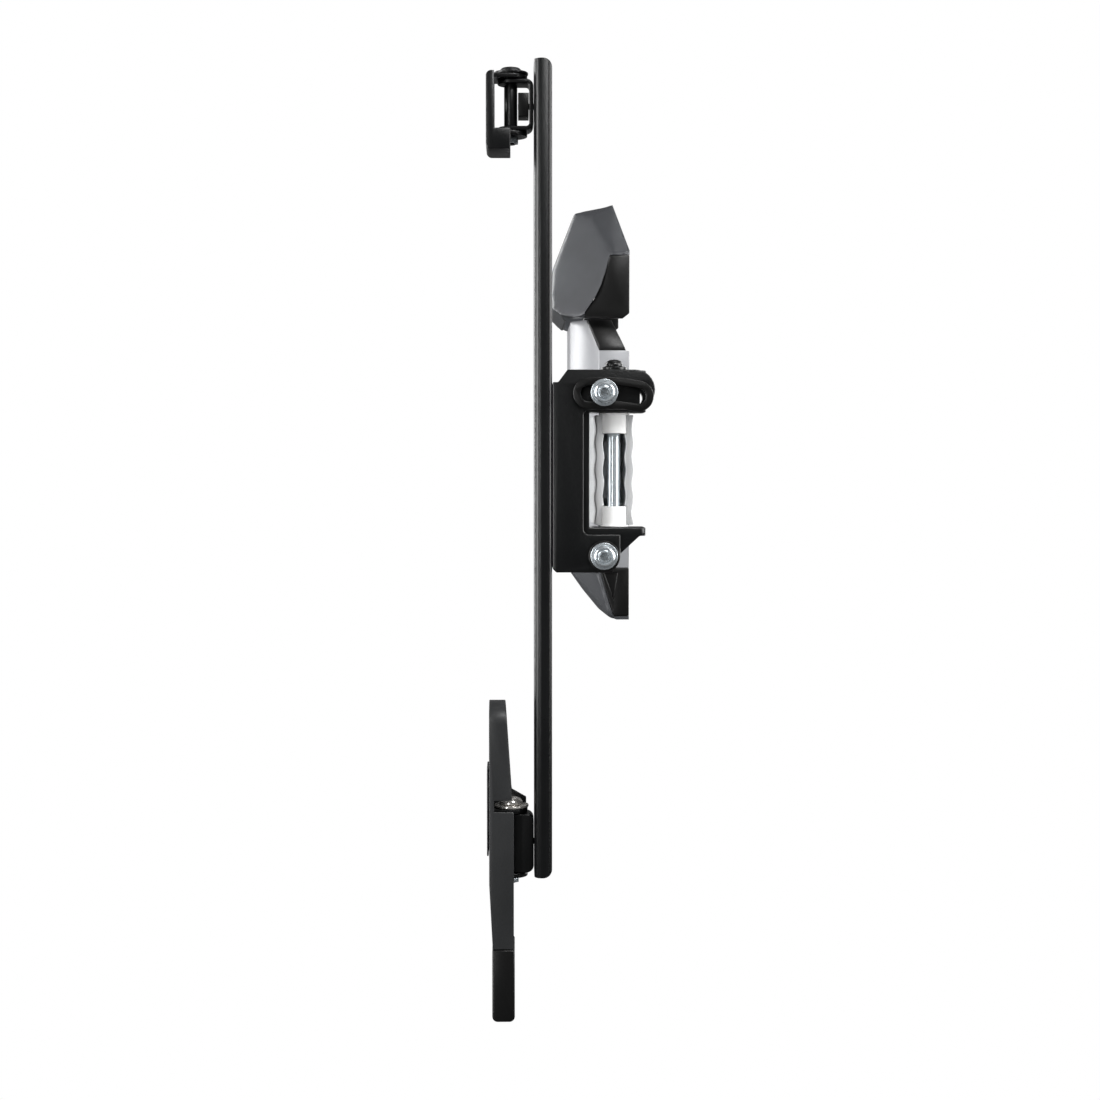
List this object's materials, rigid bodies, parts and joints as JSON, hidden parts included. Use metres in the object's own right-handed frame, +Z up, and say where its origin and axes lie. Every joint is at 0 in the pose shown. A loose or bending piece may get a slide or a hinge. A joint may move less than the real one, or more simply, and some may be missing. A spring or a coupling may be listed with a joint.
{
  "type": "full motion tv wall mount",
  "caption": "Single-arm full-motion television wall mount with covered wall pivot, fluted swing arm, tilting yoke, upright mast and hinged feet with a pull handle",
  "frame": {"origin": "On the wall face of the wall plate, on the line of the wall pivot and at half the height of the swing arm", "axes": "+X points right for someone who faces the wall and along the folded arm, +Y points into the wall, +Z points up"},
  "size_m": [0.3925, 0.094, 0.524],
  "materials": {
    "black_powder_coat": "satin black powder coat",
    "black_plastic": "matte black moulded plastic",
    "grey_plastic": "satin dark grey moulded plastic",
    "silver_paint": "satin silver paint on die-cast metal",
    "aluminium": "bright clear-anodised extrusion",
    "white_nylon": "natural white nylon",
    "zinc": "bright zinc plate",
    "nickel": "bright nickel plate"
  },
  "bodies": {
    "wall_side": {"wall_plate": "silver_paint", "pivot_carrier": "silver_paint", "top_cover": "grey_plastic", "bottom_cover": "grey_plastic", "neck_trim_right": "black_plastic", "top_cheek_right": "black_plastic", "bottom_cheek_right": "black_plastic", "neck_trim_left": "black_plastic", "top_cheek_left": "black_plastic", "bottom_cheek_left": "black_plastic", "wall_pivot_pin": "zinc", "wall_pivot_washer": "zinc", "wall_pivot_nut": "zinc"},
    "arm": {"swing_arm": "aluminium", "wall_bushing_upper": "white_nylon", "wall_bushing_lower": "white_nylon", "head_bushing_upper": "white_nylon", "head_bushing_lower": "white_nylon"},
    "yoke": {"yoke": "black_powder_coat", "swivel_pin": "zinc", "swivel_washer": "black_powder_coat", "swivel_cap_nut": "black_powder_coat", "tilt_washer_upper_right": "zinc", "tilt_bolt_upper_right": "zinc", "tilt_nut_upper_right": "zinc", "tilt_washer_upper_left": "zinc", "tilt_bolt_upper_left": "zinc", "tilt_nut_upper_left": "zinc", "tilt_washer_lower_right": "zinc", "tilt_bolt_lower_right": "zinc", "tilt_nut_lower_right": "zinc", "tilt_washer_lower_left": "zinc", "tilt_bolt_lower_left": "zinc", "tilt_nut_lower_left": "zinc"},
    "tilt_frame": {"tilt_bracket": "black_powder_coat", "mast": "black_powder_coat", "slot_rim_right": "black_plastic", "pivot_ring_right": "black_plastic", "slot_rim_left": "black_plastic", "pivot_ring_left": "black_plastic", "upper_hinge_leaf": "black_powder_coat", "upper_friction_block": "black_plastic", "upper_friction_screw": "zinc", "upper_hinge_bolt": "black_powder_coat", "upper_hinge_washer": "black_powder_coat", "upper_hinge_spacer": "black_powder_coat", "upper_hinge_nut": "zinc", "lower_hinge_leaf": "black_powder_coat", "lower_friction_block": "black_plastic", "lower_friction_screw": "zinc", "lower_hinge_bolt": "nickel", "lower_hinge_washer": "nickel", "lower_hinge_spacer": "black_powder_coat", "lower_hinge_nut": "zinc"},
    "upper_foot": {"upper_foot": "black_powder_coat"},
    "lower_foot": {"lower_foot": "black_powder_coat", "lower_foot_pad": "black_powder_coat", "pull_handle": "black_powder_coat", "handle_grip": "black_plastic"}
  },
  "joints": [
    {"name": "arm_swing", "type": "hinge", "parent": "wall_side", "child": "arm", "pos_m": [0, -0.024, 0], "axis": [0, 0, -1], "range_deg": [0, 180]},
    {"name": "head_swivel", "type": "hinge", "parent": "arm", "child": "yoke", "pos_m": [0.3, -0.024, 0], "axis": [0, 0, 1], "range_deg": [0, 180]},
    {"name": "head_tilt", "type": "hinge", "parent": "yoke", "child": "tilt_frame", "pos_m": [0.3, -0.0302, -0.0467], "axis": [1, 0, 0], "range_deg": [-4, 11]},
    {"name": "lower_foot_pan", "type": "hinge", "parent": "tilt_frame", "child": "lower_foot", "pos_m": [0.3, -0.0806, 0], "axis": [0, 0, 1], "range_deg": [-15, 15]},
    {"name": "upper_foot_pan", "type": "hinge", "parent": "tilt_frame", "child": "upper_foot", "pos_m": [0.3, -0.0806, 0], "axis": [0, 0, 1], "range_deg": [-15, 15]}
  ],
  "couplings": [
    {"joint": "upper_foot_pan", "follows": "lower_foot_pan", "ratio": 1}
  ]
}
